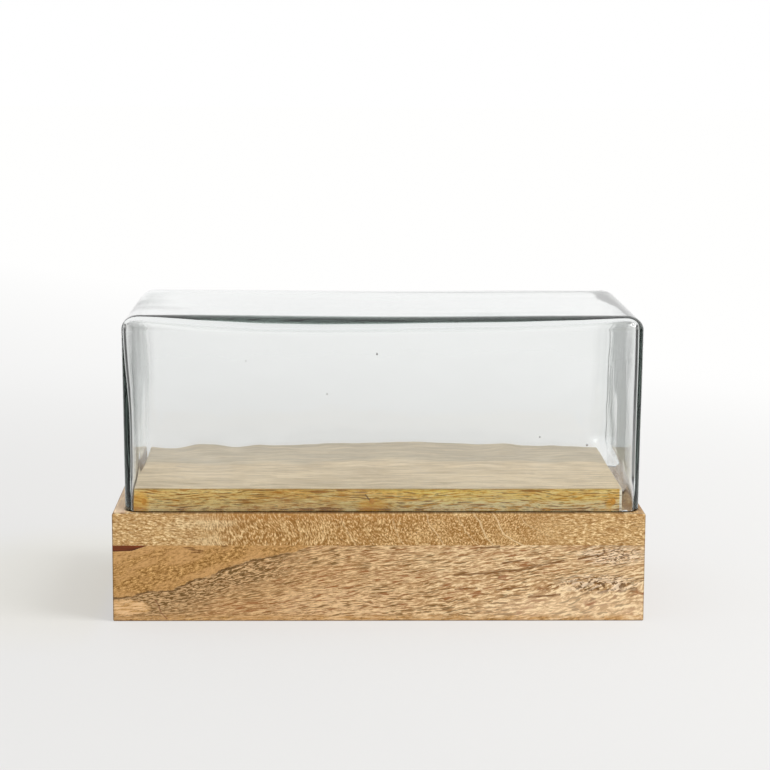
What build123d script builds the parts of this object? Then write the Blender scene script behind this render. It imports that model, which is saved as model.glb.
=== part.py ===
from build123d import *
import math
import os

# A glass display dome: a rectangular cover of thick mould-blown glass that lifts off a base
# of three solid mango-wood boards. Millimetres, +Z up, +X to the right and -Y to the viewer.
# The origin is at the middle of the base's underside.

# Driving dimensions of the base
base_width = 300.0
base_depth = 151.0
lower_board_thickness = 43.7
upper_board_thickness = 18.0
ledge_width = 12.3
centre_board_thickness = 12.5
board_edge_round = 0.8

# Driving dimensions of the glass cover
glass_thickness = 4.0
dome_height = 110.8
dome_flare = 1.0
dome_corner_radius = 10.0
dome_top_radius = 8.0
rim_round = 1.2
least_inner_radius = 1.0

# The cover fits loosely round the centre board and sits to one side of its play: a share
# of 0 is centred, and at 1 its left wall would touch the board.
dome_play = 3.85
dome_shift_share = 0.49

# Headless brads driven at a slant through the long edges of the centre board, each sunk
# below the surface under a plug of filler
brad_diameter = 1.2
brad_length = 18.0
brad_slope_deg = 40.0
brad_entry_height = 5.0
brad_end_inset = 5.0
brad_middle_offset = -4.2
plug_diameter = 2.8
plug_depth = 1.8

# A corner that was missing from the lower board, at the front left under the glue line. Its
# lower edge runs nearly level to a knee, then rises to the glue line.
wane_along_x = 20.0
wane_along_y = 14.0
wane_drop = 3.5
wane_knee_x = 11.0
wane_knee_drop = 3.1

# Places worked out from the sizes above
glue_line_z = lower_board_thickness
ledge_z = glue_line_z + upper_board_thickness
deck_z = ledge_z + centre_board_thickness
deck_width = base_width - 2 * ledge_width
deck_depth = base_depth - 2 * ledge_width
dome_inner_width = deck_width + 2 * dome_play
dome_inner_depth = deck_depth + 2 * dome_play
dome_shift_x = dome_shift_share * dome_play
brad_slope = math.radians(brad_slope_deg)


def board(width, depth, bottom_z, thickness, rounded_face):
    """A flat board with eased upright edges, and one face whose edges are eased too."""
    solid = Pos(0, 0, bottom_z + thickness / 2) * Box(width, depth, thickness)
    ease = min(board_edge_round, thickness / 3)
    solid = fillet(solid.edges().filter_by(Axis.Z), ease)
    face = solid.faces().sort_by(Axis.Z)[rounded_face]
    return fillet(face.edges(), ease)


def wane_corner():
    """The wedge of wood missing where the lower board's top, front and left end meet. It is
    deepest at the front and runs out to a point along the end."""
    left = -base_width / 2
    front = -base_depth / 2
    corner = (left, front, glue_line_z)
    along_front = (left + wane_along_x, front, glue_line_z)
    along_end = (left, front + wane_along_y, glue_line_z)
    below = (left, front, glue_line_z - wane_drop)
    knee = (left + wane_knee_x, front, glue_line_z - wane_knee_drop)
    outline = [
        (corner, along_front, along_end),
        (corner, below, knee, along_front),
        (corner, along_end, below),
        (knee, below, along_end),
        (along_front, knee, along_end),
    ]
    faces = [Face(Wire.make_polygon([Vector(*p) for p in points])) for points in outline]
    return Solid(Shell(faces))


def tapered_block(width, depth, bottom_z, height, corner_radius, top_radius):
    """A block with round upright corners that widens by the flare to its rounded top."""
    foot = Pos(0, 0, bottom_z) * RectangleRounded(width, depth, corner_radius)
    head = Pos(0, 0, bottom_z + height) * RectangleRounded(
        width + 2 * dome_flare, depth + 2 * dome_flare, corner_radius
    )
    block = loft([foot, head], ruled=True)
    return fillet(block.faces().sort_by(Axis.Z)[-1].edges(), top_radius)


def make_glass_dome():
    """The cover: four walls and a top in one shell, open below, with a rounded rim."""
    outer = tapered_block(
        dome_inner_width + 2 * glass_thickness,
        dome_inner_depth + 2 * glass_thickness,
        ledge_z,
        dome_height,
        dome_corner_radius,
        dome_top_radius,
    )
    inner = tapered_block(
        dome_inner_width,
        dome_inner_depth,
        ledge_z,
        dome_height - glass_thickness,
        max(dome_corner_radius - glass_thickness, least_inner_radius),
        max(dome_top_radius - glass_thickness, least_inner_radius),
    )
    shell = outer - inner
    rim = shell.faces().sort_by(Axis.Z)[0]
    shell = fillet(rim.edges(), min(rim_round, 0.4 * glass_thickness))
    return Pos(dome_shift_x, 0, 0) * shell


def brad_places():
    """X of each brad along a long edge of the centre board."""
    end = deck_width / 2 - brad_end_inset
    return [-end, brad_middle_offset, end]


def slanted_rod(x, side, radius, start, length):
    """A rod on a brad's axis. It enters the long edge on side (-1 front, 1 back) and slopes
    down towards the middle. start and length are counted along the axis from that edge."""
    entry = Vector(x, side * deck_depth / 2, ledge_z + brad_entry_height)
    inward = Vector(0, -side * math.cos(brad_slope), -math.sin(brad_slope))
    return Plane(origin=entry + inward * start, z_dir=inward) * Cylinder(
        radius, length, align=(Align.CENTER, Align.CENTER, Align.MIN)
    )


def along_both_edges(radius, start, length):
    """One slanted rod for each brad of the centre board's two long edges."""
    return [
        slanted_rod(x, side, radius, start, length)
        for side in (-1, 1)
        for x in brad_places()
    ]


# The boards before anything is driven into them or cut away
lower_blank = board(base_width, base_depth, 0, lower_board_thickness, 0)
upper_blank = board(base_width, base_depth, glue_line_z, upper_board_thickness, -1)
centre_blank = board(deck_width, deck_depth, ledge_z, centre_board_thickness, -1)

# A brad starts under its plug. The plug's rod starts outside the board, so that cutting it
# with the board leaves its face flush.
plug_rods = along_both_edges(plug_diameter / 2, -plug_depth, 2 * plug_depth)
brads = along_both_edges(brad_diameter / 2, plug_depth, brad_length)
wane = wane_corner()

seam_filler_wedge = wane & lower_blank
lower_board = lower_blank - wane
upper_board = upper_blank
centre_board = centre_blank
plugs = []
for rod in plug_rods:
    plugs.append((rod & centre_blank).solid())
    centre_board -= rod
for brad in brads:
    centre_board -= brad
    upper_board -= brad
    lower_board -= brad

sub_parts = {
    "lower_board": lower_board,
    "seam_filler_wedge": seam_filler_wedge,
    "upper_board": upper_board,
    "centre_board": centre_board,
    "centre_board_brads": Compound(brads),
    "brad_filler_plugs": Compound(plugs),
    "glass_dome": make_glass_dome(),
}

os.makedirs("parts", exist_ok=True)
for node, shape in sub_parts.items():
    shape.label = node
    export_step(shape, f"parts/{node}.step")
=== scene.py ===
import math
from functools import reduce

import bpy
import numpy as np
from mathutils import Matrix, Vector, noise


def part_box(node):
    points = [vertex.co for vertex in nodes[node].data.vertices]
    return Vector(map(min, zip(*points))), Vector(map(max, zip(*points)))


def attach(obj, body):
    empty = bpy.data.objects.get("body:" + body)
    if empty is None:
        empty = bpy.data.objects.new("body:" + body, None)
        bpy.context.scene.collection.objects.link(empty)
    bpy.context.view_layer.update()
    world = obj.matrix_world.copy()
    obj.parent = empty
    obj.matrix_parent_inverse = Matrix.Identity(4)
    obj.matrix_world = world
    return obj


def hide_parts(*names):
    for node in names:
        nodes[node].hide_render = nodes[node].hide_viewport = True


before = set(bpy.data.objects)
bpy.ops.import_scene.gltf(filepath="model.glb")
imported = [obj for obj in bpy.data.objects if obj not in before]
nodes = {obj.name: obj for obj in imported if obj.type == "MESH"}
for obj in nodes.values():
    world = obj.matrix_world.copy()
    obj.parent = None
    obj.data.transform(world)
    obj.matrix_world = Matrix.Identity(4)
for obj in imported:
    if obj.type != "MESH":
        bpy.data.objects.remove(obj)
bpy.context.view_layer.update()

MM = 0.001

# Where the boards and the cover are, from the frame
DOME_LOW, DOME_HIGH = (np.array(corner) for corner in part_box("glass_dome"))
DECK_LOW, DECK_HIGH = (np.array(corner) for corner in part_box("centre_board"))
BASE_LOW, BASE_HIGH = (np.array(corner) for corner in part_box("upper_board"))
LEDGE_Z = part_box("upper_board")[1][2]
GLUE_LINE_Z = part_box("lower_board")[1][2]
DOME_MIDDLE = (DOME_LOW + DOME_HIGH) / 2
DOME_HEIGHT = DOME_HIGH[2] - LEDGE_Z


# Shader graphs

class Graph:
    """A material's or the world's nodes, built by short calls that return output sockets."""

    def __init__(self, owner):
        owner.use_nodes = True
        self.tree = owner.node_tree
        self.tree.nodes.clear()

    def feed(self, socket, value):
        """Links another node's output to this input, or gives it a plain value."""
        if isinstance(value, bpy.types.NodeSocket):
            self.tree.links.new(value, socket)
        else:
            socket.default_value = value

    def add(self, kind, inputs=(), **settings):
        """A node with its settings and inputs, each input a socket or a plain value."""
        node = self.tree.nodes.new(kind)
        for name, value in settings.items():
            setattr(node, name, value)
        for key, value in dict(inputs).items():
            self.feed(node.inputs[key], value)
        return node

    def first(self, kind, inputs, **settings):
        """The first output of a new node."""
        return self.add(kind, inputs, **settings).outputs[0]

    def math(self, operation, a, b=0.0, clamp=False):
        return self.first("ShaderNodeMath", {0: a, 1: b}, operation=operation, use_clamp=clamp)

    def chain(self, operation, values):
        """One operation all along the values, from the first to the last."""
        return reduce(lambda total, value: self.math(operation, total, value), values)

    def sum(self, *values):
        return self.chain("ADD", values)

    def times(self, *values):
        return self.chain("MULTIPLY", values)

    def most(self, *values):
        return self.chain("MAXIMUM", values)

    def least(self, *values):
        return self.chain("MINIMUM", values)

    def minus(self, a, b):
        return self.math("SUBTRACT", a, b)

    def absolute(self, a):
        return self.math("ABSOLUTE", a)

    def hypot(self, a, b):
        return self.math("SQRT", self.sum(self.times(a, a), self.times(b, b)))

    def vector(self, operation, a, b):
        return self.first("ShaderNodeVectorMath", {0: a, 1: b}, operation=operation)

    def join(self, x, y, z):
        return self.first("ShaderNodeCombineXYZ", {0: x, 1: y, 2: z})

    def split(self, vector):
        return self.add("ShaderNodeSeparateXYZ", {0: vector}).outputs

    def place(self):
        """The point on the object, in metres in the shared frame."""
        return self.add("ShaderNodeTexCoord").outputs["Object"]

    def stretched(self, vector, lengths_mm):
        """vector in metres, in units of a length in millimetres for each direction."""
        return self.vector("MULTIPLY", vector, tuple(1000.0 / length for length in lengths_mm))

    def noise(self, vector, lengths_mm, detail=2.0, roughness=0.5):
        """Noise of 0 to 1 whose largest features are about as long as lengths_mm."""
        node = self.add(
            "ShaderNodeTexNoise",
            {"Vector": self.stretched(vector, lengths_mm), "Scale": 1.0, "Detail": detail,
             "Roughness": roughness},
        )
        return node.outputs["Fac"]

    def swing(self, vector, lengths_mm):
        """Noise of -0.5 to 0.5."""
        return self.minus(self.noise(vector, lengths_mm), 0.5)

    def lines(self, vector, lengths_mm, width):
        """Thin wavy lines, where a noise with these lengths passes its middle."""
        off = self.minus(self.noise(vector, lengths_mm, 1.0), 0.5)
        return self.map(self.absolute(off), 0.2 * width, width, 1, 0)

    def dots(self, vector, lengths_mm, share, radius=0.42):
        """Separate spots with these lengths. A share of them shows, each as dark as chance has
        it. The radius is counted in cells."""
        cells = self.add(
            "ShaderNodeTexVoronoi", {"Vector": self.stretched(vector, lengths_mm), "Scale": 1.0}
        )
        chance = self.split(cells.outputs["Color"])
        soft_edge, soft_share, palest = 0.2, 0.15, 0.45
        spot = self.map(cells.outputs["Distance"], radius - soft_edge, radius, 1, 0)
        shown = self.map(chance[0], 1 - share, 1 - share + soft_share)
        return self.times(spot, shown, self.map(chance[1], 0, 1, palest, 1, smooth=False))

    def map(self, value, low, high, to_low=0.0, to_high=1.0, smooth=True):
        """value from low..high to to_low..to_high, held at the ends."""
        return self.first(
            "ShaderNodeMapRange",
            {"Value": value, "From Min": low, "From Max": high, "To Min": to_low,
             "To Max": to_high},
            interpolation_type="SMOOTHSTEP" if smooth else "LINEAR",
        )

    def course(self, value, points_mm):
        """The height of a bent line at a value. Both are in metres, its points in millimetres."""
        height = points_mm[0][1] * MM
        for (start, low), (end, high) in zip(points_mm, points_mm[1:]):
            step = self.map(value, start * MM, end * MM, 0, (high - low) * MM, smooth=False)
            height = self.sum(height, step)
        return height

    def blob(self, a, b, centre_mm, size_mm, soft=0.5):
        """1 inside an ellipse of these half sizes in the plane of a and b, 0 well outside it."""
        across, along = (
            self.math("DIVIDE", self.minus(at, centre * MM), size * MM)
            for at, centre, size in zip((a, b), centre_mm, size_mm)
        )
        square = self.sum(self.times(across, across), self.times(along, along))
        return self.map(square, 1 - soft, 1 + soft, 1, 0)

    def mark(self, a, b, start_mm, end_mm, width_mm):
        """1 on a fine line from start to end in the plane of a and b, 0 beside it."""
        run = (end_mm[0] - start_mm[0], end_mm[1] - start_mm[1])
        length = math.hypot(*run)
        u = (run[0] / length, run[1] / length)
        da = self.minus(a, start_mm[0] * MM)
        db = self.minus(b, start_mm[1] * MM)
        along = self.sum(self.times(da, u[0]), self.times(db, u[1]))
        off = self.absolute(self.sum(self.times(da, -u[1]), self.times(db, u[0])))
        begun = self.map(along, -0.3 * MM, 0.6 * MM)
        not_over = self.map(along, (length - 0.8) * MM, length * MM, 1, 0)
        near = self.map(off, 0.3 * width_mm * MM, width_mm * MM, 1, 0)
        return self.times(begun, not_over, near)

    def mix(self, factor, a, b):
        """Colour a where the factor is 0 and b where it is 1, each a socket or three numbers."""
        node = self.add("ShaderNodeMix", data_type="RGBA")
        self.feed(node.inputs[0], factor)
        for socket, colour in ((node.inputs[6], a), (node.inputs[7], b)):
            self.feed(socket, (*colour, 1) if isinstance(colour, tuple) else colour)
        return node.outputs[2]

    def paint(self, colour, other, *masks):
        """colour with another laid over it, as far as the product of the masks says."""
        return self.mix(self.times(*masks), colour, other)

    def tone(self, colour, other, field, start, end, share):
        """colour with a share of another, which comes in as a field goes from start to end."""
        return self.mix(self.map(field, start, end, 0.0, share), colour, other)

    def mix_surfaces(self, factor, a, b):
        return self.first("ShaderNodeMixShader", {0: factor, 1: a, 2: b})

    def seen(self, *kinds):
        """1 for rays of these kinds in Light Path, else 0."""
        path = self.add("ShaderNodeLightPath")
        return self.most(*(path.outputs[f"Is {kind} Ray"] for kind in kinds))

    def mirrored(self):
        """1 for a ray that has been reflected anywhere on its way, and 0 for one that came straight
        from the camera or only passed through glass."""
        path = self.add("ShaderNodeLightPath")
        return self.math(
            "SUBTRACT", path.outputs["Ray Depth"], path.outputs["Transmission Depth"], clamp=True
        )

    def output(self, surface, volume=None, world=False):
        out = self.add("ShaderNodeOutputWorld" if world else "ShaderNodeOutputMaterial")
        self.feed(out.inputs["Surface"], surface)
        if volume is not None:
            self.feed(out.inputs["Volume"], volume)


def new_material(name):
    material = bpy.data.materials.new(name)
    return material, Graph(material)


def new_object(name, data):
    """An object with this data, put into the scene."""
    thing = bpy.data.objects.new(name, data)
    bpy.context.collection.objects.link(thing)
    return thing


# The glass

GLASS_IOR = 1.52
GLASS_TINT, TINT_DENSITY = (0.1, 0.22, 0.17, 1), 18.0

# The rounded rim turns light away from the wood that it stands on, and lets less of it through
# than the wall above
THROUGH_RIM, THROUGH_WALL = (0.3, 0.32, 0.29), (0.985, 0.99, 0.99)
RIM_TO_WALL_Z = (LEDGE_Z + 0.4 * MM, LEDGE_Z + 2.0 * MM)

# The lowest part was ground flat and is dull; it is also painted an opaque dark brown, as painted
# shade for the dark contact line where the rim stands on the ledge
RIM_SHADE_COLOUR, RIM_SHADE_SHARE = (0.05, 0.035, 0.02, 1), 0.95
RIM_SHADE_TO_CLEAR_Z = (LEDGE_Z + 0.55 * MM, LEDGE_Z + 0.85 * MM)


def glass_material():
    """Clear glass of a slight green-grey, which darkens by its real thickness."""
    material, g = new_material("blown_glass")
    glass = g.first(
        "ShaderNodeBsdfPrincipled",
        {"Base Color": (1, 1, 1, 1), "Roughness": 0.0, "IOR": GLASS_IOR,
         "Transmission Weight": 1.0},
    )
    z = g.split(g.place())[2]
    through = g.mix(g.map(z, *RIM_TO_WALL_Z), THROUGH_RIM, THROUGH_WALL)
    let_through = g.first("ShaderNodeBsdfTransparent", {"Color": through})
    clear = g.mix_surfaces(g.seen("Shadow", "Diffuse"), glass, let_through)
    # Painted shade: the rim's lowest part is an opaque dark diffuse, for its contact line on the
    # ledge
    rim_shade = g.first("ShaderNodeBsdfDiffuse", {"Color": RIM_SHADE_COLOUR})
    surface = g.mix_surfaces(g.map(z, *RIM_SHADE_TO_CLEAR_Z, RIM_SHADE_SHARE, 0), clear, rim_shade)
    tint = g.first("ShaderNodeVolumeAbsorption", {"Color": GLASS_TINT, "Density": TINT_DENSITY})
    g.output(surface, tint)
    return material


# The cover's even shape: a box with round edges that widens by the flare to its top
FLARE = 1.0 * MM
WALL = 4.0 * MM
CORNER_RADIUS = 10.0 * MM
TOP_RADIUS = 8.0 * MM
RIM_ROUND = 1.2 * MM
OUTER_HALF = np.array([*((DOME_HIGH - DOME_LOW) / 2 - FLARE)[:2], DOME_HEIGHT])
OUTER_RADII = np.array([CORNER_RADIUS, CORNER_RADIUS, TOP_RADIUS])

# Its mesh: the steps on the flat, the turns round a bend, and the steps round a rim's corner
GRID_STEP = 2.2 * MM
BEND_STEPS = 9
BEND_TURNS = [math.pi / 4 * i / BEND_STEPS for i in range(1, BEND_STEPS + 1)]
RIM_STEPS = 4

# The inner radius of the upright corners: at the left end low down and high up, at the right end
# in front and behind, and at the foot of all four
INNER_CORNER_LOW = 4.0 * MM
INNER_CORNER_HIGH = 7.0 * MM
INNER_CORNER_RIGHT = 6.0 * MM
INNER_CORNER_BACK_RIGHT = 12.0 * MM
INNER_CORNER_FOOT = 1.5 * MM

# How much thicker than even the sides are, in mm: both at the front, the left one low down, high
# up and at the back, and the right one at the back
SIDES_IN_FRONT = 0.1
LEFT_LOW, LEFT_HIGH, LEFT_BACK = 0.9, -1.4, 0.6
RIGHT_BACK = 1.3

# How far the top's inner face is below its outer one along the front and along the back, from
# left to right: X and depth in mm. Between two Y, in metres, the first passes into the second.
TOP_IN_FRONT = (
    (-146, 2.6), (-128, 3.0), (-100, 4.45), (-66, 5.55), (-33, 6.0), (3, 5.9), (39, 5.4),
    (79, 4.8), (112, 4.0), (134, 3.1), (148, 2.7),
)
TOP_BEHIND = ((-146, 2.8), (-128, 3.2), (-33, 4.8), (3, 4.9), (79, 4.3), (148, 2.9))
FRONT_TO_BACK_Y = (-0.045, 0.06)

# How the front wall bends what is seen through it low down: X in mm and how far, about in
# pixels of the photograph. The bend is strongest at one height and fades above and below.
FRONT_WAVES = (
    (-128, 0.0), (-121, 1.0), (-114, 1.6), (-107, -0.8), (-101, -2.4), (-92, -2.7), (-87, -1.2),
    (-83, 1.2), (-78, 2.1), (-73, 0.8), (-67, -1.0), (-63, 0.0), (-57, 1.0), (-50, 0.5),
    (-44, 0.6), (-37, -0.3), (-30, -1.8), (-20, -2.1), (-12, -0.9), (-5, -1.4), (7, -2.7),
    (14, -2.2), (27, -2.4), (34, -2.2), (41, -1.4), (51, -0.3), (64, -0.4), (69, -1.8),
    (75, -1.2), (79, 0.3), (91, 0.0), (98, -1.0), (108, -0.4), (119, -0.1), (124, -0.5),
)
WAVES_Z = 0.0995
WAVES_SPREAD = 7.0 * MM
WAVES_SLOPE = 0.009

# The front also sags inwards low in its middle, and the top sags a little: how far in mm, then
# the middle of the sag and its spread in metres
FRONT_SAG_MM = 1.5
FRONT_SAG = ((0.005, 0, LEDGE_Z + 0.017), (0.075, None, 0.022))
TOP_SAG_MM = 0.75
TOP_SAG = ((0.005, 0, 0), (0.05, None, None))

# Ripples: height in mm, wavelengths in metres, and seed
OUTER_RIPPLES = (0.10, (0.05, 0.05, 0.05), 3.1)
TOP_STREAKS = (0.05, (0.3, 0.03, 0.05), 5.2)
INNER_RIPPLES = (0.22, (0.05, 0.05, 0.05), 8.4)
FINE_RIPPLES = (0.05, (0.014, 0.03, 0.012), 2.2)
RIPPLE_LEVELS = 2


def stations(half, radius):
    """Places along one side of a box, from -half to half: even steps on the flat, and even
    angles where the side bends round an edge of this radius."""
    bend = [half - radius + radius * math.tan(turn) for turn in BEND_TURNS]
    steps = round(2 * (half - radius) / GRID_STEP)
    flat = np.linspace(radius - half, half - radius, steps + 1)
    return [-b for b in reversed(bend)] + list(flat) + bend


def resampled(places, count):
    return np.interp(np.linspace(0, len(places) - 1, count), range(len(places)), places)


def box_grid(xs, ys, zs):
    """Vertices and quads over four sides and the top of a box, open below. Each vertex is its
    three grid numbers, and the rim is the loop of vertices with the lowest third number."""
    last_x, last_y, last_z = len(xs) - 1, len(ys) - 1, len(zs) - 1
    numbers = {}

    def vertex(i, j, k):
        return numbers.setdefault((i, j, k), len(numbers))

    quads = [
        [(i, j, last_z), (i + 1, j, last_z), (i + 1, j + 1, last_z), (i, j + 1, last_z)]
        for i in range(last_x)
        for j in range(last_y)
    ]
    for k in range(last_z):
        for i in range(last_x):
            for j, a, b in ((0, i, i + 1), (last_y, i + 1, i)):
                quads.append([(a, j, k), (b, j, k), (b, j, k + 1), (a, j, k + 1)])
        for j in range(last_y):
            for i, a, b in ((0, j + 1, j), (last_x, j, j + 1)):
                quads.append([(i, a, k), (i, b, k), (i, b, k + 1), (i, a, k + 1)])
    faces = [[vertex(*corner) for corner in quad] for quad in quads]
    rim = (
        [vertex(i, 0, 0) for i in range(last_x)]
        + [vertex(last_x, j, 0) for j in range(last_y)]
        + [vertex(i, last_y, 0) for i in range(last_x, 0, -1)]
        + [vertex(0, j, 0) for j in range(last_y, 0, -1)]
    )
    points = np.array([(xs[i], ys[j], zs[k]) for i, j, k in numbers])
    return points, faces, rim


def round_off(points, half, radii):
    """Moves a box's surface points onto the box with elliptical edges, whose radii may differ
    from point to point. Gives the points and the way out of the surface at each."""
    core = half - radii
    held = points.copy()
    held[:, :2] = np.clip(points[:, :2], -core[:, :2], core[:, :2])
    held[:, 2] = np.minimum(points[:, 2], core[:, 2])
    away = (points - held) / radii
    away /= np.linalg.norm(away, axis=1, keepdims=True)
    out = away / radii
    out /= np.linalg.norm(out, axis=1, keepdims=True)
    return held + away * radii, out


def ripple(points, height, waves, seed):
    """Smooth noise of about this height at each point, with these wavelengths in metres."""
    shift = Vector((seed, 2.3 * seed, -1.7 * seed))
    return height * np.array([
        sum(noise.noise(Vector(p) * 2**n + shift) / 2**n for n in range(RIPPLE_LEVELS))
        for p in points / np.array(waves)
    ])


def swell(points, centre, spread):
    """A smooth hump of height 1. A spread of None lets it run on in that direction."""
    power = sum(
        ((points[:, axis] - centre[axis]) / spread[axis]) ** 2
        for axis in range(3)
        if spread[axis] is not None
    )
    return np.exp(-0.5 * power)


def fade(values, start, end):
    """From 0 at start to 1 at end, smoothly."""
    share = np.clip((values - start) / (end - start), 0, 1)
    return share * share * (3 - 2 * share)


def blend(share, a, b):
    """a where the share is 0 and b where it is 1."""
    return a + share * (b - a)


def outer_shift(points, out):
    """Where the outer skin's points move from an even box: gentle ripples on the walls, long
    level streaks and a slight sag on the top, and nothing at the rim."""
    top = np.clip(out[:, 2], 0, 1)
    walls = ripple(points, *OUTER_RIPPLES)
    streaks = ripple(points, *TOP_STREAKS)
    sag = TOP_SAG_MM * swell(points, *TOP_SAG)
    above_rim = fade(points[:, 2], LEDGE_Z + RIM_ROUND, LEDGE_Z + 8 * MM)
    return out * (MM * ((1 - top) * walls + top * (streaks - sag)) * above_rim)[:, None]


def inner_shift(points, out, half):
    """Where the inner skin's points move from a wall of even thickness. The sides get thicker to
    the back, and the left one is thick low down and thin high up. The front sags low in its
    middle and is wavy over the back of the deck. The top is thickest in the middle of its front."""
    x, y, z = points.T
    from_middle = x - DOME_MIDDLE[0]
    at_left, at_right, at_top = (
        fade(at, edge - 22 * MM, edge - 8 * MM)
        for at, edge in ((-from_middle, half[0]), (from_middle, half[0]), (z - LEDGE_Z, half[2]))
    )
    to_back = (y - DOME_LOW[1]) / (DOME_HIGH[1] - DOME_LOW[1])
    up = (z - LEDGE_Z) / DOME_HEIGHT
    high = fade(up, 0.42, 0.95)
    low = (1 - high) * (0.6 + 0.4 * fade(up, 0.12, 0.32))
    over_deck = fade(z, DECK_HIGH[2], DECK_HIGH[2] + 8 * MM)
    left_back = LEFT_BACK * np.clip(to_back / 0.6, 0, 1)
    left_wall = SIDES_IN_FRONT + LEFT_LOW * low + LEFT_HIGH * high + left_back
    left_wall *= 0.7 + 0.3 * over_deck
    right_wall = (SIDES_IN_FRONT + RIGHT_BACK * np.clip(to_back / 0.8, 0, 1)) * over_deck
    in_front, behind = (np.interp(x / MM, *zip(*line)) for line in (TOP_IN_FRONT, TOP_BEHIND))
    top_wall = blend(fade(y, *FRONT_TO_BACK_Y), in_front, behind) - WALL / MM
    along_x = at_left * left_wall - at_right * right_wall
    shift = MM * np.column_stack((along_x, 0 * y, -at_top * top_wall))

    front, top = np.clip(-out[:, 1], 0, 1), np.clip(out[:, 2], 0, 1)
    sag = FRONT_SAG_MM * swell(points, *FRONT_SAG)
    from_waves = (z - WAVES_Z) / WAVES_SPREAD
    bend = WAVES_SLOPE * WAVES_SPREAD / MM * np.interp(x / MM, *zip(*FRONT_WAVES))
    waves = bend * from_waves * np.exp(-0.5 * from_waves**2)
    uneven = (1 - 0.85 * top) * ripple(points, *INNER_RIPPLES)
    fine = (1 - top) * ripple(points, *FINE_RIPPLES)
    return shift - out * (MM * (front * (sag + waves) + uneven + fine))[:, None]


def inner_corner_radius(points):
    """The radius of the inner skin's upright corners, for points that start at the rim."""
    up = points[:, 2] / DOME_HEIGHT
    left = blend(fade(up, 0.4, 0.92), INNER_CORNER_LOW, INNER_CORNER_HIGH)
    to_back = fade(points[:, 1], -0.02, 0.04)
    right = blend(to_back, INNER_CORNER_RIGHT, INNER_CORNER_BACK_RIGHT)
    above = blend(fade(points[:, 0], -0.1, 0.1), left, right)
    return blend(fade(up, 0.02, 0.18), INNER_CORNER_FOOT, above)


def skin(inner):
    """The cover's outer or inner face: its points, its faces and the loop at its rim."""
    inset = WALL if inner else 0.0
    half, radii = OUTER_HALF - inset, OUTER_RADII - inset
    # Both skins have as many stations, so that their rims are joined one to one
    xs, ys = (
        resampled(stations(half[n], radii[n]), len(stations(OUTER_HALF[n], OUTER_RADII[n])))
        for n in (0, 1)
    )
    wall_top = half[2] - radii[2]
    rows = round((DOME_HEIGHT - TOP_RADIUS) / GRID_STEP)
    zs = list(np.linspace(RIM_ROUND, wall_top, rows + 1))
    zs += [wall_top + radii[2] * math.tan(turn) for turn in BEND_TURNS]
    points, faces, rim = box_grid(xs, ys, zs)
    radii = np.tile(radii, (len(points), 1))
    if inner:
        radii[:, 0] = radii[:, 1] = inner_corner_radius(points)
    points, out = round_off(points, half, radii)
    points[:, :2] *= 1 + FLARE * points[:, 2:3] / DOME_HEIGHT / half[:2]
    points += np.array([DOME_MIDDLE[0], DOME_MIDDLE[1], LEDGE_Z])
    if inner:
        return points + inner_shift(points, out, half), [face[::-1] for face in faces], rim
    return points + outer_shift(points, out), faces, rim


def join_rim(vertices, faces, rims):
    """Closes the glass below: a flat cut edge with both of its corners rounded."""
    outer_rim, inner_rim = rims
    turns = [math.pi / 2 * n / RIM_STEPS for n in range(1, RIM_STEPS + 1)]
    round_share = RIM_ROUND / WALL
    profile = [(round_share * (1 - math.cos(t)), RIM_ROUND * (1 - math.sin(t))) for t in turns]
    profile += [(1 - share, z) for share, z in reversed(profile)]
    loops = [outer_rim]
    for share, z in profile:
        loop = []
        for a, b in zip(outer_rim, inner_rim):
            at = (1 - share) * np.array(vertices[a]) + share * np.array(vertices[b])
            loop.append(len(vertices))
            vertices.append((at[0], at[1], LEDGE_Z + z))
        loops.append(loop)
    loops.append(inner_rim)
    for above, below in zip(loops, loops[1:]):
        for n in range(len(above)):
            after = (n + 1) % len(above)
            faces.append([above[n], below[n], below[after], above[after]])


# Seeds, the small bubbles caught in the front wall: X and Z of the middle, and radius, in mm
FRONT_WALL_MIDDLE = -70.2
BUBBLES = (
    (-1.7, 151.8, 0.55), (-29.5, 129.2, 0.35), (90.0, 104.9, 0.4), (116.6, 100.4, 0.6),
    (-74.7, 147.8, 0.3),
)
BUBBLE_ROWS, BUBBLE_SIDES = 6, 10
BUBBLE_DRAWN_OUT = 1.3


def add_bubble(vertices, faces, centre, radius):
    """An empty ball in the glass, drawn out upright, its faces turned to the air inside."""
    start = len(vertices)
    half_height = BUBBLE_DRAWN_OUT * radius
    for row in range(1, BUBBLE_ROWS):
        polar = math.pi * row / BUBBLE_ROWS
        for side in range(BUBBLE_SIDES):
            turn = 2 * math.pi * side / BUBBLE_SIDES
            ring = radius * math.sin(polar)
            offset = (ring * math.cos(turn), ring * math.sin(turn), half_height * math.cos(polar))
            vertices.append(tuple(centre + offset))
    poles = (len(vertices), len(vertices) + 1)
    vertices.append(tuple(centre + (0, 0, half_height)))
    vertices.append(tuple(centre - (0, 0, half_height)))
    last = start + (BUBBLE_ROWS - 2) * BUBBLE_SIDES
    for side in range(BUBBLE_SIDES):
        after = (side + 1) % BUBBLE_SIDES
        faces.append([poles[0], start + after, start + side])
        faces.append([poles[1], last + side, last + after])
        for row in range(BUBBLE_ROWS - 2):
            a, b = start + row * BUBBLE_SIDES, start + (row + 1) * BUBBLE_SIDES
            faces.append([a + side, a + after, b + after, b + side])


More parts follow.
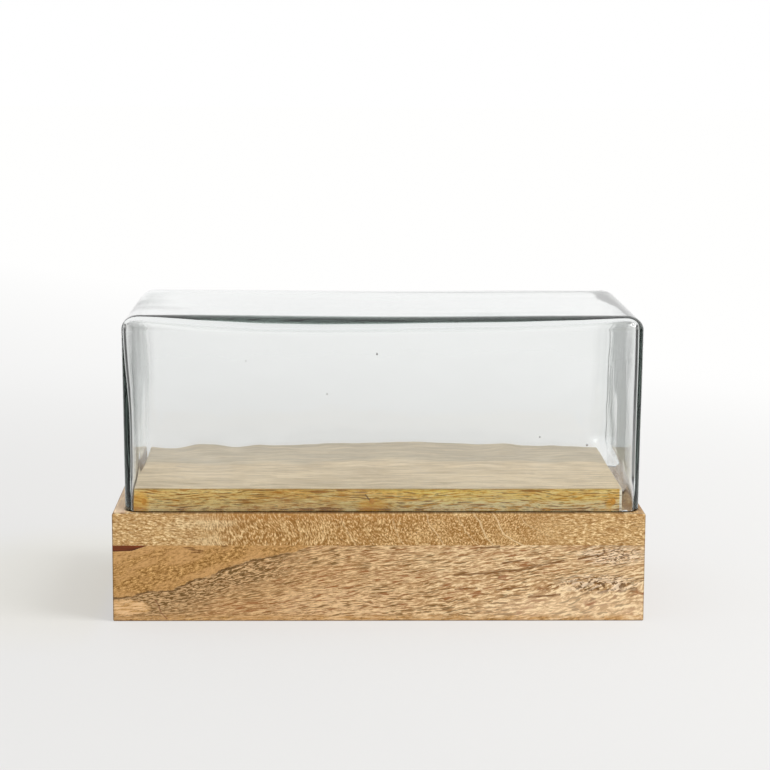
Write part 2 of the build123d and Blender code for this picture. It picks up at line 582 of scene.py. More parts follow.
def glass_dome():
    """The blown cover: an outer and an inner skin joined at the rim, with a few bubbles between
    them. Both skins are gently uneven, as glass is that was blown into a mould."""
    vertices, faces, rims = [], [], []
    for inner in (False, True):
        points, quads, rim = skin(inner)
        start = len(vertices)
        vertices += [tuple(point) for point in points]
        faces += [[start + n for n in quad] for quad in quads]
        rims.append([start + n for n in rim])
    join_rim(vertices, faces, rims)
    for x, z, radius in BUBBLES:
        add_bubble(vertices, faces, np.array((x, FRONT_WALL_MIDDLE, z)) * MM, radius * MM)
    mesh = bpy.data.meshes.new("glass_cover")
    mesh.from_pydata(vertices, [], faces)
    mesh.validate()
    mesh.shade_smooth()
    return new_object("glass_cover", mesh)


cover = glass_dome()
cover.data.materials.append(glass_material())
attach(cover, "dome")
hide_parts("glass_dome")


# The boards' wood

WAXED = {"IOR": 1.48, "Specular IOR Level": 0.25}


def finish(g, colour, roughness, relief, strength, depth_mm, settings):
    """Ends a material with a plain surface. The relief is about 0 to 1, 0 the deepest pore."""
    bump = g.first(
        "ShaderNodeBump", {"Height": relief, "Strength": strength, "Distance": depth_mm * MM}
    )
    surface = g.first(
        "ShaderNodeBsdfPrincipled",
        {"Base Color": colour, "Roughness": roughness, "Normal": bump, **settings},
    )
    g.output(surface)


def dirt_and_shade_at_ends(g, colour, fine):
    """Darkens the base's two ends and its foot, unevenly where they meet the long sides: partly by
    the dirt they catch, partly as painted shade where their rounded edges turn from the light and
    where the foot meets the floor."""
    x, _, z = g.split(g.place())
    nearest = g.least(g.minus(x, BASE_LOW[0]), g.minus(BASE_HIGH[0], x), z)
    # Dirt and painted shade within about a millimetre of the ends and the foot
    dirt_and_shade = g.map(g.sum(nearest, g.times(fine, 0.4 * MM)), 0.5 * MM, 1.1 * MM, 1, 0)
    return g.paint(colour, (0.12, 0.065, 0.02), dirt_and_shade, 0.55)


# The upper edge of the dark figure on the lower board's front, and the height of its grain,
# which follows that edge on the left: X and Z in mm
FIGURE_EDGE = (
    (-150, 13.0), (-140, 14.5), (-131, 17.3), (-120, 18.1), (-110, 20.5), (-103, 24.4),
    (-95, 26.2), (-87, 30.6), (-79, 33.1), (-72, 35.4), (-61, 37.2), (-50, 39.4), (-36, 43.5),
    (-20, 50.0),
)
GRAIN_RISE = ((-150, -28), (-130, -24), (-110, -19.5), (-80, -10), (-50, -3), (0, 4), (150, 25))

# Long dark streaks on the lower board's front: start and end, X and Z in mm, and width
DARK_STREAKS = (
    ((42.0, 26.3), (62.0, 27.9), 0.7), ((61.0, 27.7), (74.5, 29.3), 0.9),
    ((73.0, 28.9), (92.0, 32.0), 1.0), ((91.0, 31.8), (105.0, 35.2), 0.7),
    ((84.0, 13.7), (103.0, 15.3), 0.9), ((69.0, 33.5), (82.0, 35.6), 0.7),
    ((56.5, 42.4), (68.5, 43.4), 0.9), ((65.5, 17.7), (85.5, 20.2), 0.6),
    ((42.5, 18.4), (56.0, 19.3), 0.6), ((-88.5, 42.9), (-84.5, 43.3), 1.0),
    ((-107.0, 41.7), (-98.5, 40.4), 0.8), ((-106.0, 39.8), (-100.0, 39.4), 0.7),
    ((-110.5, 43.0), (-104.0, 42.4), 0.5), ((112.0, 36.0), (127.0, 38.5), 0.8),
)

# The crack's straight pieces, X and Z in mm, and their width
CRACK_PIECES = (
    ((-126.6, 12.6), (-124.1, 8.8)), ((-124.3, 9.3), (-123.0, 4.8)), ((-123.2, 5.2), (-119.6, 0.8)),
)
CRACK_WIDTH = 0.55


def lower_board_material():
    """Flat-sawn mango wood, its grain rising to the right. A dark figure crosses it on the left
    under a smooth golden field, and the rest is pale, paler to the right, with dark dashes."""
    material, g = new_material("lower_board_mango")
    place = g.place()
    x, y, z = g.split(place)
    wander = g.swing(place, (70, 60, 40))
    shiver = g.swing(place, (13, 16, 5))
    jitter = g.swing(place, (2.4, 8, 1.8))
    # The grain lies nearly level at the foot
    rise = g.times(g.course(x, GRAIN_RISE), g.map(z, 0, 22 * MM, 0.4, 1.0, smooth=False))
    ring = g.sum(z, g.times(rise, -1), g.times(wander, 6 * MM), g.times(shiver, 2.0 * MM))
    grain = g.join(x, ring, y)
    rightward = g.map(x, -80 * MM, 95 * MM)

    # The pale wood: fine streaks along the grain, then thin dark dashes, some of them red
    broad = g.noise(grain, (70, 6, 30), 2, 0.6)
    streak = g.noise(grain, (10, 0.95, 5), 3, 0.6)
    fine = g.noise(grain, (3.2, 0.5, 1.6), 2, 0.6)
    light = g.mix(rightward, (0.84, 0.55, 0.27), (1.0, 0.78, 0.47))
    shade = g.mix(rightward, (0.31, 0.155, 0.045), (0.40, 0.215, 0.08))
    pale = g.mix(rightward, (0.54, 0.325, 0.145), (0.69, 0.465, 0.25))
    pale = g.tone(pale, (0.52, 0.27, 0.105), broad, 0.42, 0.62, 0.35)
    pale = g.paint(pale, (0.90, 0.64, 0.38), g.blob(x, z, (-22, 9), (38, 10), 0.9), 0.5)
    pale = g.tone(pale, shade, streak, 0.52, 0.59, 0.8)
    pale = g.tone(pale, light, streak, 0.475, 0.39, 0.85)
    pale = g.tone(pale, shade, fine, 0.455, 0.37, 0.8)
    pale = g.tone(pale, light, fine, 0.535, 0.62, 0.85)
    red = g.map(g.noise(grain, (25, 5, 9), 1), 0.45, 0.6)
    dark = g.mix(red, (0.155, 0.075, 0.012), (0.30, 0.105, 0.025))
    dashes = g.map(g.noise(g.vector("ADD", grain, (0.3, 0.1, 0)), (9, 0.85, 5), 1), 0.57, 0.63)
    pale = g.paint(pale, dark, dashes, 0.8)
    pores = g.dots(grain, (8.0, 1.0, 3), 0.4, 0.44)
    pale = g.paint(pale, dark, pores, 0.85)
    pale = g.paint(pale, (0.98, 0.74, 0.48), g.blob(x, z, (112, 5), (50, 11), 0.9), 0.3)

    # The figure is darkest and closely netted under its ragged upper edge
    below = g.sum(
        g.course(x, FIGURE_EDGE),
        g.times(z, -1),
        g.times(shiver, 3.5 * MM),
        g.times(jitter, 2.5 * MM),
    )
    leftward = g.map(x, -28 * MM, -72 * MM)
    under = g.map(below, -0.2 * MM, 0.8 * MM)
    heart = g.times(under, g.map(below, 8 * MM, 21 * MM, 1, 0), leftward)
    skirt = g.times(under, g.map(below, 14 * MM, 27 * MM, 1, 0), g.map(x, -80 * MM, -104 * MM))
    figure = g.most(heart, g.times(skirt, 0.55))
    netted = g.mix(g.map(fine, 0.38, 0.6), (0.38, 0.21, 0.08), (0.78, 0.52, 0.27))
    net = g.noise(grain, (3.4, 0.95, 3), 2, 0.6)
    netted = g.mix(g.map(net, 0.485, 0.53), netted, (0.13, 0.065, 0.012))
    colour = g.paint(pale, netted, figure, 0.85)
    edge = g.map(g.absolute(g.sum(below, -0.5 * MM)), 0.3 * MM, 1.0 * MM, 1, 0)
    edge = g.times(edge, leftward, g.map(streak, 0.4, 0.52, 0.35, 1))
    colour = g.paint(colour, (0.11, 0.05, 0.01), edge, 0.85)

    # The golden field over it, with a round patch at the bottom left and level streaks at the foot
    field = g.map(below, -0.6 * MM, 0.4 * MM, 1, 0)
    patch = g.blob(x, g.sum(z, g.times(jitter, 3 * MM)), (-144, 7.8), (15, 4.6), 0.25)
    patch = g.times(patch, g.map(x, -100 * MM, -120 * MM))
    foot = g.times(g.map(z, 1.5 * MM, 4.5 * MM, 1, 0), g.map(streak, 0.36, 0.6, 0.35, 0.9))
    golden = g.most(field, patch, foot)
    slope = g.join(x, g.sum(z, g.times(x, -0.25), g.times(shiver, 1.5 * MM)), y)
    stipple = g.noise(slope, (2.2, 1.1, 1.8), 4, 0.75)
    clouds = g.noise(slope, (26, 8, 12), 3, 0.6)
    amount = g.map(clouds, 0.56, 0.42, 0.35, 1)
    gold = g.mix(g.map(clouds, 0.38, 0.62), (0.45, 0.235, 0.066), (0.60, 0.335, 0.125))
    gold = g.paint(gold, (0.20, 0.09, 0.013), g.map(stipple, 0.505, 0.59, 0.0, 0.9), amount)
    gold = g.paint(gold, (0.84, 0.52, 0.20), g.map(stipple, 0.485, 0.38, 0.0, 0.85), amount)
    specks = g.dots(slope, (2.8, 0.9, 1.3), 0.3, 0.46)
    gold = g.paint(gold, (0.19, 0.08, 0.01), specks, 0.7)
    gold = g.paint(gold, (0.86, 0.56, 0.29), g.most(patch, foot), g.map(streak, 0.54, 0.44))
    colour = g.mix(golden, colour, gold)

    # Clusters of short dashes at the right end, two red knots, the long streaks and a fine crack
    clusters = g.most(
        g.blob(x, z, (131, 38.0), (17, 5.5), 0.9), g.blob(x, z, (124, 21.5), (21, 5.0), 0.9)
    )
    curled = g.join(g.sum(x, g.times(z, 0.5)), g.sum(ring, g.times(jitter, 0.8 * MM)), y)
    curls = g.noise(curled, (2.1, 0.62, 1.5), 1, 0.5)
    colour = g.paint(colour, (0.98, 0.77, 0.55), clusters, g.map(streak, 0.6, 0.4), 0.75)
    colour = g.paint(colour, (0.13, 0.055, 0.01), clusters, g.map(curls, 0.52, 0.59), 0.9)
    knots = g.most(g.blob(x, z, (120.5, 10.3), (5.0, 1.8)), g.blob(x, z, (71, 25), (4.2, 1.5)))
    colour = g.paint(colour, (0.30, 0.105, 0.04), knots, g.map(streak, 0.35, 0.6), 0.8)
    for start, end, width in DARK_STREAKS:
        run = g.mark(x, g.sum(z, g.times(shiver, 2.2 * MM)), start, end, width)
        colour = g.paint(colour, (0.17, 0.07, 0.015), run, g.map(fine, 0.36, 0.52, 0.35, 0.9))
    aside = g.sum(x, g.times(shiver, 2 * MM))
    crack = g.most(*(g.mark(aside, z, *piece, CRACK_WIDTH) for piece in CRACK_PIECES))
    colour = g.paint(colour, (0.20, 0.07, 0.03), crack, 0.6)

    # Dirt and painted shade at the board's ends and its foot
    colour = dirt_and_shade_at_ends(g, colour, fine)
    relief = g.sum(g.times(fine, 0.5), g.times(pores, -0.7), g.times(crack, -0.6))
    finish(g, colour, g.map(streak, 0.3, 0.7, 0.42, 0.58), relief, 0.6, 0.12, WAXED)
    return material


def painted_rim_shade(g, x, y):
    """How much painted shade the ledge gets: most where the cover stands, a little less in the gap
    inside it, and none outside it."""
    half = (DOME_HIGH - DOME_LOW) / 2 - FLARE - CORNER_RADIUS
    beyond = [
        g.minus(g.absolute(g.minus(at, float(DOME_MIDDLE[axis]))), float(half[axis]))
        for axis, at in enumerate((x, y))
    ]
    round_part = g.hypot(*(g.most(gap, 0.0) for gap in beyond))
    outside = g.sum(round_part, g.least(g.most(*beyond), 0.0), -CORNER_RADIUS)
    not_beyond = g.map(outside, 0.2 * MM, 1.0 * MM, 1, 0)
    return g.times(not_beyond, g.map(outside, -5 * MM, -3.5 * MM, 0.55, 0.6))


# The heart of the upper board's tree, X and Z in metres, and its pale growth rings: how far they
# are from the heart, in mm, and how strong
HEART_X, HEART_Z = 0.123, 0.104
GROWTH_RINGS = (
    (62, 0.3), (73.5, 0.7), (82.5, 0.65), (90, 0.25), (106, 0.45), (124, 0.3), (150, 0.3),
)


def upper_board_material():
    """Wood whose fibres run front to back, so that its long front shows end grain: a close
    worm-like speckle along the growth rings, which turns to level streaks at both ends."""
    material, g = new_material("upper_board_mango")
    place = g.place()
    x, y, z = g.split(place)
    wander = g.swing(place, (30, 60, 20))
    shiver = g.swing(place, (6, 30, 3))
    dx = g.minus(x, HEART_X)
    dz = g.minus(z, HEART_Z)
    radius = g.hypot(dx, dz)
    radius = g.sum(radius, g.times(wander, 9 * MM), g.times(shiver, 1.2 * MM))
    turn = g.math("ARCTAN2", dz, g.times(dx, -1))
    ringed = g.join(radius, g.times(turn, 90 * MM), y)

    broad = g.noise(place, (22, 80, 9), 3, 0.6)
    ends = g.most(g.map(x, 78 * MM, 112 * MM), g.map(x, -78 * MM, -118 * MM))
    base = g.mix(g.map(broad, 0.36, 0.64), (0.455, 0.24, 0.07), (0.60, 0.36, 0.14))
    bands = g.noise(ringed, (6, 40, 120), 2, 0.55)
    base = g.tone(base, (0.43, 0.20, 0.045), bands, 0.45, 0.62, 0.4)
    base = g.paint(base, (0.64, 0.405, 0.17), ends, 0.6)
    cream = g.times(g.blob(x, z, (-96, 52), (20, 9), 0.9), g.map(broad, 0.42, 0.56, 0.2, 1))
    base = g.paint(base, (0.84, 0.64, 0.36), cream, 0.7)
    light, shade = (0.97, 0.71, 0.37), (0.23, 0.10, 0.015)

    # End grain: a speckle along the rings, and chains of dark pores
    speckle = g.noise(ringed, (0.8, 0.95, 16), 2, 0.65)
    worms = g.lines(ringed, (1.0, 1.5, 22), 0.08)
    ringed_wood = g.tone(base, shade, speckle, 0.49, 0.37, 0.85)
    ringed_wood = g.tone(ringed_wood, light, speckle, 0.51, 0.63, 0.85)
    ringed_wood = g.paint(ringed_wood, (0.33, 0.155, 0.035), worms, 0.45)
    pores = g.dots(ringed, (1.2, 1.3, 25), 0.35, 0.42)
    ringed_wood = g.paint(ringed_wood, (0.18, 0.075, 0.01), pores, 0.8)

    # Growth rings: thin pale lines at uneven distances from the heart
    lines = []
    for distance, strength in GROWTH_RINGS:
        off = g.absolute(g.minus(radius, distance * MM))
        lines.append(g.times(g.map(off, 0.15 * MM, 0.6 * MM, 1, 0), strength))
    rings = g.most(*lines)
    ringed_wood = g.mix(rings, ringed_wood, (0.86, 0.66, 0.38))

    # The ends: level wavy dashes
    height = g.sum(z, g.times(x, 0.03), g.times(shiver, 2.0 * MM), g.times(wander, 4 * MM))
    level = g.join(x, height, y)
    streak = g.noise(level, (2.6, 0.8, 26), 3, 0.7)
    end_wood = g.tone(base, (0.28, 0.13, 0.03), streak, 0.49, 0.38, 0.85)
    end_wood = g.tone(end_wood, (1.0, 0.78, 0.44), streak, 0.51, 0.62, 0.85)
    dashes = g.map(g.noise(level, (6.0, 1.1, 20), 1), 0.56, 0.64)
    end_wood = g.paint(end_wood, (0.30, 0.14, 0.035), dashes, 0.55)
    colour = g.mix(ends, ringed_wood, end_wood)

    # A red-brown stain runs just under the upper edge of the long sides, left of their middle
    under_edge = g.map(z, LEDGE_Z - 4.4 * MM, LEDGE_Z - 2.8 * MM)
    stained = g.times(
        under_edge,
        g.map(x, -112 * MM, -95 * MM, 0.2, 1),
        g.map(x, 0, 30 * MM, 1, 0.3),
        g.map(speckle, 0.42, 0.58, 1, 0.35),
    )
    colour = g.paint(colour, (0.42, 0.185, 0.04), stained, 0.65)

    # The ledge is paler at its left end, and gets painted shade in a thin strip in front and at its
    # right end, and where the cover stands and in the gap inside it
    top = g.map(z, LEDGE_Z - 0.2 * MM, LEDGE_Z - 0.05 * MM)
    ledge_shade = g.most(g.map(y, -71.0 * MM, -71.6 * MM), g.times(g.map(x, 146 * MM, 147 * MM), 0.6))
    # Painted shade along the ledge's front strip and its right end
    colour = g.paint(colour, (0.10, 0.06, 0.03), top, ledge_shade, 0.4)
    pale_end = g.times(top, g.map(x, -140 * MM, -145 * MM), g.map(y, -71.6 * MM, -71.0 * MM))
    colour = g.paint(colour, (0.86, 0.66, 0.50), pale_end, 0.6)
    # Painted shade where the cover stands and in the gap inside it
    colour = g.paint(colour, (0.09, 0.05, 0.02), top, painted_rim_shade(g, x, y))

    fine = g.noise(place, (1.2, 12, 1.0), 2, 0.6)
    # Dirt and painted shade at the board's ends
    colour = dirt_and_shade_at_ends(g, colour, fine)
    relief = g.sum(g.times(speckle, 0.6), g.times(pores, -0.6))
    finish(g, colour, g.map(broad, 0.3, 0.7, 0.5, 0.6), relief, 0.6, 0.12, WAXED)
    return material


# Where the amber filler of the middle and the end brads has spread: X and Z in mm, half sizes
FRONT_STAINS = (
    ((-134.5, 65.5), (4.2, 6.0)), ((-4.0, 65.0), (7.5, 3.4)), ((130.8, 65.7), (1.8, 3.0)),
)


def centre_board_material():
    """Straight-grained wood with an olive-yellow front and a duller top, painted paler and greyer
    in part as painted sheen, stained amber round the fillings."""
    material, g = new_material("centre_board_mango")
    place = g.place()
    x, y, z = g.split(place)
    wander = g.swing(place, (60, 40, 40))
    shiver = g.swing(place, (9, 9, 4))
    up = g.sum(z, g.times(wander, 7 * MM), g.times(shiver, 1.4 * MM))
    back = g.sum(y, g.times(wander, 14 * MM), g.times(shiver, 1.6 * MM))
    grain = g.join(x, up, back)
    broad = g.noise(grain, (60, 4.0, 16), 3, 0.6)
    streak = g.noise(grain, (12, 0.8, 2.6), 3, 0.6)
    fine = g.noise(grain, (3.4, 0.5, 0.8), 2, 0.6)
    hue = g.noise(grain, (34, 2.6, 14), 2, 0.55)

    # The long edges: olive and amber bands, yellow to the right and cream along the foot there
    rightward = g.map(x, -40 * MM, 60 * MM)
    band = g.mix(g.map(hue, 0.42, 0.58), (0.74, 0.45, 0.10), (0.90, 0.50, 0.10))
    band = g.paint(band, (1.0, 0.74, 0.10), rightward, g.map(broad, 0.4, 0.58), 0.85)
    paler = g.most(g.map(x, -65 * MM, -95 * MM), g.map(x, 10 * MM, 80 * MM))
    band = g.mix(g.map(paler, 0, 1, 0.15, 0.7), band, (1.0, 0.73, 0.26))
    foot_height = g.sum(z, g.times(shiver, 3 * MM))
    cream = g.times(
        g.map(foot_height, 69.5 * MM, 65 * MM),
        g.map(x, -25 * MM, 40 * MM, 0.25, 1),
        g.map(hue, 0.35, 0.55, 0.5, 1),
    )
    band = g.paint(band, (1.0, 0.82, 0.46), cream, 0.7)
    dark_band = g.mix(rightward, (0.54, 0.185, 0.0), (0.70, 0.29, 0.0))
    edge_wood = g.tone(band, dark_band, streak, 0.52, 0.62, 0.85)
    edge_wood = g.tone(edge_wood, (1.0, 0.80, 0.36), streak, 0.46, 0.38, 0.75)
    edge_wood = g.tone(edge_wood, dark_band, fine, 0.45, 0.36, 0.7)
    edge_wood = g.paint(edge_wood, (1.0, 0.84, 0.50), cream, g.map(streak, 0.58, 0.5), 0.3)
    dashes = g.map(g.noise(g.vector("ADD", grain, (0.2, 0.1, 0)), (12, 0.8, 5), 1), 0.58, 0.65)
    edge_wood = g.paint(edge_wood, (0.33, 0.11, 0.0), dashes, 0.85)

    # The open face on top is smooth; its colour is paler and greyer, in part as painted sheen, and
    # greyer still in a broad band at the back
    top = g.map(z, DECK_HIGH[2] - 0.5 * MM, DECK_HIGH[2] - 0.1 * MM)
    cloth = g.noise(grain, (26, 9, 3.2), 4, 0.65)
    # Paler and greyer than the long edges: in part painted sheen
    top_with_sheen = g.mix(g.map(broad, 0.38, 0.62), (0.69, 0.54, 0.345), (0.59, 0.455, 0.285))
    top_with_sheen = g.tone(top_with_sheen, (0.40, 0.285, 0.165), cloth, 0.5, 0.62, 0.5)
    top_with_sheen = g.tone(top_with_sheen, (0.84, 0.68, 0.475), cloth, 0.48, 0.36, 0.5)
    top_with_sheen = g.tone(top_with_sheen, (0.42, 0.29, 0.16), fine, 0.42, 0.32, 0.3)
    band_y = g.sum(y, g.times(wander, 50 * MM), g.times(shiver, 6 * MM))
    grey_zone = g.times(g.map(band_y, 4 * MM, 18 * MM), g.map(cloth, 0.3, 0.6, 0.7, 1))
    top_with_sheen = g.paint(top_with_sheen, (0.36, 0.315, 0.245), grey_zone, 0.55)

    # The ends show dark end grain, in part painted shade for the narrow gaps they face under the
    # cover, and a near-white painted highlight lies on the long edges beside the right one
    end = g.map(g.absolute(x), DECK_HIGH[0] - 0.25 * MM, DECK_HIGH[0] - 0.08 * MM)
    end_grain_and_shade = g.mix(g.map(fine, 0.4, 0.6), (0.22, 0.13, 0.05), (0.36, 0.22, 0.09))
    # Painted highlight: near-white on the long edges within 1.2 mm of the right end
    right_end_highlight = g.map(x, DECK_HIGH[0] - 1.7 * MM, DECK_HIGH[0] - 1.2 * MM)
    edge_wood = g.paint(edge_wood, (1.0, 0.96, 0.8), right_end_highlight, 0.9)
    edge_wood = g.mix(end, edge_wood, end_grain_and_shade)
    colour = g.mix(top, edge_wood, top_with_sheen)

    pores = g.dots(grain, (6.5, 0.95, 1.0), 0.4)
    colour = g.paint(colour, (0.20, 0.075, 0.005), pores, g.map(top, 0, 1, 0.65, 0.25))

    # Amber stains on both long edges, and the dark slanting mark by the middle brad
    edge = g.map(g.absolute(y), DECK_HIGH[1] - 0.6 * MM, DECK_HIGH[1] - 0.2 * MM)
    aside = g.sum(x, g.times(shiver, 4 * MM))
    stains = g.most(*(g.blob(aside, z, *stain, 0.7) for stain in FRONT_STAINS))
    stains = g.times(stains, edge)
    amber = g.mix(g.map(streak, 0.4, 0.6), (1.0, 0.56, 0.05), (0.85, 0.36, 0.02))
    colour = g.paint(colour, amber, stains, 0.6)
    slant = g.times(g.mark(x, z, (-8.0, 71.0), (-4.4, 66.2), 0.6), edge)
    colour = g.paint(colour, (0.14, 0.05, 0.01), slant, 0.8)

    # A short dark check on top near the back, and darker bands along the upper arris and at the
    # foot
    crack = g.mark(x, g.sum(y, g.times(shiver, 3 * MM)), (0.5, 58.8), (20.5, 58.4), 0.9)
    colour = g.paint(colour, (0.13, 0.08, 0.05), crack, top, 0.75)
    foot = g.times(g.map(z, DECK_LOW[2] + 0.5 * MM, DECK_LOW[2] + 1.6 * MM, 1, 0), edge)
    colour = g.paint(colour, (0.20, 0.10, 0.03), foot, g.map(x, 0, 60 * MM, 0.35, 0.1))
    arris = g.map(z, DECK_HIGH[2] - 1.3 * MM, DECK_HIGH[2] - 0.6 * MM)
    arris = g.times(arris, edge, g.map(hue, 0.4, 0.55, 0.4, 1))
    colour = g.paint(colour, (0.30, 0.16, 0.02), arris, 0.6)

    relief = g.sum(g.times(fine, 0.5), g.times(pores, -0.7), g.times(crack, top, -1.0))
    finish(g, colour, g.map(streak, 0.3, 0.7, 0.34, 0.46), relief, 0.6, 0.08, WAXED)
    return material


# Steel and fillers

def brad_steel_material():
    """Drawn wire: fine lines along its length and a little dulling."""
    material, g = new_material("drawn_steel")
    place = g.place()
    lines = g.noise(place, (0.12, 3, 3), 3, 0.7)
    dull = g.noise(place, (2, 2, 2), 3)
    tint = g.mix(g.map(dull, 0.35, 0.65), (0.36, 0.34, 0.32), (0.24, 0.20, 0.17))
    finish(g, tint, g.map(dull, 0.3, 0.7, 0.35, 0.55), lines, 0.3, 0.02, {"Metallic": 1.0})
    return material


def amber_filler_material():
    """Hard filler, cloudy and finely grained, with the pits that sanding opens."""
    material, g = new_material("amber_filler")
    place = g.place()
    cloud = g.noise(place, (3.6, 3.6, 1.2), 3, 0.6)
    pits = g.dots(place, (0.7, 0.7, 0.7), 0.35, 0.35)
    colour = g.mix(g.map(cloud, 0.35, 0.65), (0.92, 0.44, 0.04), (0.70, 0.27, 0.012))
    colour = g.paint(colour, (0.28, 0.108, 0.0048), pits, 0.6)
    relief = g.sum(cloud, g.times(pits, -0.8))
    finish(g, colour, g.map(cloud, 0.3, 0.7, 0.35, 0.5), relief, 0.5, 0.06, {})
    return material


# How far the wedge's lower edge lies under the glue line on the front: X and depth in mm
WEDGE_DEPTH = ((-150, 3.5), (-139, 3.1), (-130, 0.0))


def wedge_material():
    """The red-brown filling of the lower board's missing corner, darkest along its lower edge."""
    material, g = new_material("dark_filler")
    place = g.place()
    x, _, z = g.split(place)
    streak = g.noise(place, (9, 9, 0.9), 3, 0.6)
    colour = g.mix(g.map(streak, 0.35, 0.65), (0.23, 0.048, 0.008), (0.13, 0.026, 0.003))
    depth = g.course(x, WEDGE_DEPTH)
    near_edge = g.map(g.sum(z, depth, -GLUE_LINE_Z), 0.0, 1.1 * MM, 1, 0)
    colour = g.paint(colour, (0.03, 0.01, 0.003), near_edge, 0.75)
    roughness = g.map(streak, 0.3, 0.7, 0.4, 0.6)
    finish(g, colour, roughness, streak, 0.5, 0.08, {"Specular IOR Level": 0.3})
    return material


def dress(node, material):
    nodes[node].data.materials.clear()
    nodes[node].data.materials.append(material)


dress("lower_board", lower_board_material())
dress("upper_board", upper_board_material())
dress("centre_board", centre_board_material())
dress("centre_board_brads", brad_steel_material())
dress("brad_filler_plugs", amber_filler_material())
dress("seam_filler_wedge", wedge_material())


# The stage: floor, world and key lamp

FLOOR_HALF, FLOOR_Z = 8.0, -0.1 * MM
FLOOR_GREY = (0.72, 0.71, 0.695)

# The floor's own light near the object, and how much of what is seen there is that light
NEAR_LEVEL = 0.83
FLOOR_SHARE_SHOWN = 0.55

# What matt surfaces get from all sides
EVEN_LIGHT = 0.76

# What reflections meet at the sides, in the room in front, on its floor, and above
SIDE_LEVEL = 0.12
ROOM_LEVEL = 0.88
NEAR_ROOM_LEVEL = 0.3
CEILING_LEVEL = 0.97

KEY_PLACE, KEY_TARGET = (1.5, -0.7, 1.8), (0, 0, 0.05)
KEY_SIZE, KEY_WATTS = 1.2, 36.5


def studio_level(g, x, y):
    """What a reflected ray meets in a level direction: a white backdrop behind, a paler room in
    front and dark sides."""
    reach = g.math("SQRT", g.sum(g.times(x, x), g.times(y, y), 1e-6))
    ahead = g.math("DIVIDE", y, reach)
    backdrop = g.map(ahead, 0.5, 0.8, SIDE_LEVEL, 1.0)
    return g.most(backdrop, g.map(ahead, -0.4, -0.85, 0.0, ROOM_LEVEL))


def make_floor():
    """A pale floor that turns into the white background behind the object. Reflections of its
    far parts show the dim room instead."""
    mesh = bpy.data.meshes.new("floor")
    half, z = FLOOR_HALF, FLOOR_Z
    corners = [(-half, -half, z), (half, -half, z), (half, half, z), (-half, half, z)]
    mesh.from_pydata(corners, [], [(0, 1, 2, 3)])
    floor = new_object("floor", mesh)
    material, g = new_material("pale_floor")
    place = g.place()
    x, y, _ = g.split(place)
    distance = g.add("ShaderNodeVectorMath", {0: place}, operation="LENGTH").outputs["Value"]
    shown = g.seen("Camera", "Glossy", "Transmission")
    # Paler to the back and to the right, and white in all directions far out
    slope = g.map(g.sum(y, g.times(x, 1.4)), -0.3, 1.25, NEAR_LEVEL, 1.0, smooth=False)
    level = g.most(slope, g.map(distance, 1.2, 2.4, NEAR_LEVEL, 1.0))
    far = g.map(distance, 0.3, 0.6)
    reflected = g.mirrored()
    dim = g.sum(1.0, g.times(reflected, far, g.minus(studio_level(g, x, y), 1.0)))
    # Reflections meet a darker strip of it just in front of the object
    strip = g.times(g.map(y, -0.50, -0.42, 0, 1), g.map(y, -0.16, -0.08, 1, 0), reflected)
    dim = g.times(dim, g.map(strip, 0, 1, 1, NEAR_ROOM_LEVEL, smooth=False))
    matte = g.first("ShaderNodeBsdfDiffuse", {"Color": (*FLOOR_GREY, 1)})
    # Painted bounce light: the floor beside the base's left end is tinted warm, as the base's wood
    # would colour it
    painted_bounce = g.blob(x, y, (-190, 20), (75, 130), 0.9)
    tint = g.paint((1, 0.998, 0.992), (1, 0.975, 0.90), painted_bounce, g.map(x, -150 * MM, -165 * MM))
    bright = g.first("ShaderNodeEmission", {"Color": tint, "Strength": g.times(level, dim)})
    share = g.times(shown, g.map(distance, 0.25, 1.0, FLOOR_SHARE_SHOWN, 1.0))
    share = g.most(share, g.times(shown, strip))
    g.output(g.mix_surfaces(share, matte, bright))
    mesh.materials.append(material)


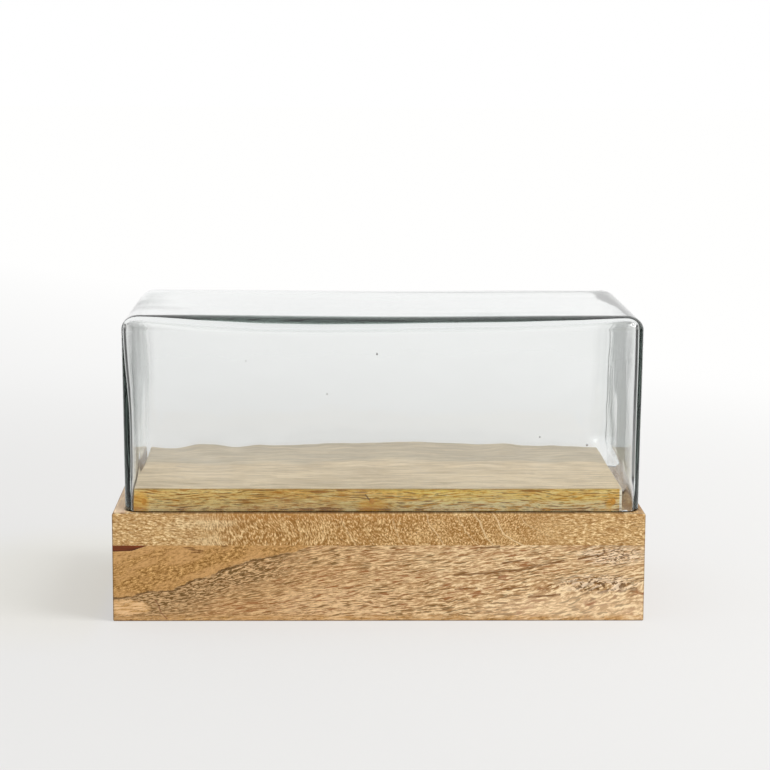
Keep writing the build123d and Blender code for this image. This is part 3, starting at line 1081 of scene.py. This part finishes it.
def make_world():
    """Even light for matt surfaces. Camera and glass see a white surround, and reflections see
    a white backdrop behind the object, a bright ceiling and a dim room to the sides."""
    world = bpy.data.worlds.new("studio")
    bpy.context.scene.world = world
    g = Graph(world)
    x, y, up = g.split(g.add("ShaderNodeTexCoord").outputs["Generated"])
    shown = g.seen("Camera", "Glossy", "Transmission")
    room = g.most(studio_level(g, x, y), g.map(up, 0.0, 0.18, 0.0, CEILING_LEVEL))
    surround = g.sum(1.0, g.times(g.mirrored(), g.minus(room, 1.0)))
    level = g.sum(g.times(shown, surround), g.times(g.minus(1.0, shown), EVEN_LIGHT))
    sky = g.first("ShaderNodeBackground", {"Color": (1, 1, 1, 1), "Strength": level})
    g.output(sky, world=True)


def make_key_lamp():
    """A soft lamp to the right, in front and above."""
    lamp = bpy.data.lights.new("key", "AREA")
    lamp.shape = "RECTANGLE"
    lamp.size = lamp.size_y = KEY_SIZE
    lamp.energy = KEY_WATTS
    holder = new_object("key", lamp)
    holder.location = KEY_PLACE
    aim = Vector(KEY_TARGET) - Vector(KEY_PLACE)
    holder.rotation_euler = aim.to_track_quat("-Z", "Y").to_euler()


make_floor()
make_world()
make_key_lamp()


# The camera, as fitted to the photograph's edges: f in pixels of the 770-pixel frame

FOCAL_PIXELS = 2328.0
FRAME_PIXELS = 770.0
SENSOR = 36.0
CAMERA_FROM_BASE_FRONT = (-27.2 * MM, -1280.1 * MM, 334.2 * MM)
YAW, PITCH, ROLL = (math.radians(a) for a in (1.34, 8.84, 0.28))


def make_camera():
    data = bpy.data.cameras.new("camera")
    data.sensor_width = SENSOR
    data.lens = SENSOR * FOCAL_PIXELS / FRAME_PIXELS
    data.clip_end = 50
    camera = new_object("camera", data)
    forward = Vector(
        (math.sin(YAW) * math.cos(PITCH), math.cos(YAW) * math.cos(PITCH), -math.sin(PITCH))
    )
    level = Vector((math.cos(YAW), -math.sin(YAW), 0))
    upright = level.cross(forward)
    right = math.cos(ROLL) * level + math.sin(ROLL) * upright
    up = -math.sin(ROLL) * level + math.cos(ROLL) * upright
    turn = Matrix((right, up, -forward)).transposed().to_4x4()
    x, y, z = CAMERA_FROM_BASE_FRONT
    camera.matrix_world = Matrix.Translation((x, BASE_LOW[1] + y, z)) @ turn
    bpy.context.scene.camera = camera


make_camera()


# How often light may turn on its way through the glass

LIGHT_BOUNCES = 64
TRANSPARENT_BOUNCES = 48

scene = bpy.context.scene
scene.view_settings.view_transform = "Standard"
scene.cycles.max_bounces = LIGHT_BOUNCES
scene.cycles.transmission_bounces = LIGHT_BOUNCES
scene.cycles.glossy_bounces = LIGHT_BOUNCES
scene.cycles.transparent_max_bounces = TRANSPARENT_BOUNCES
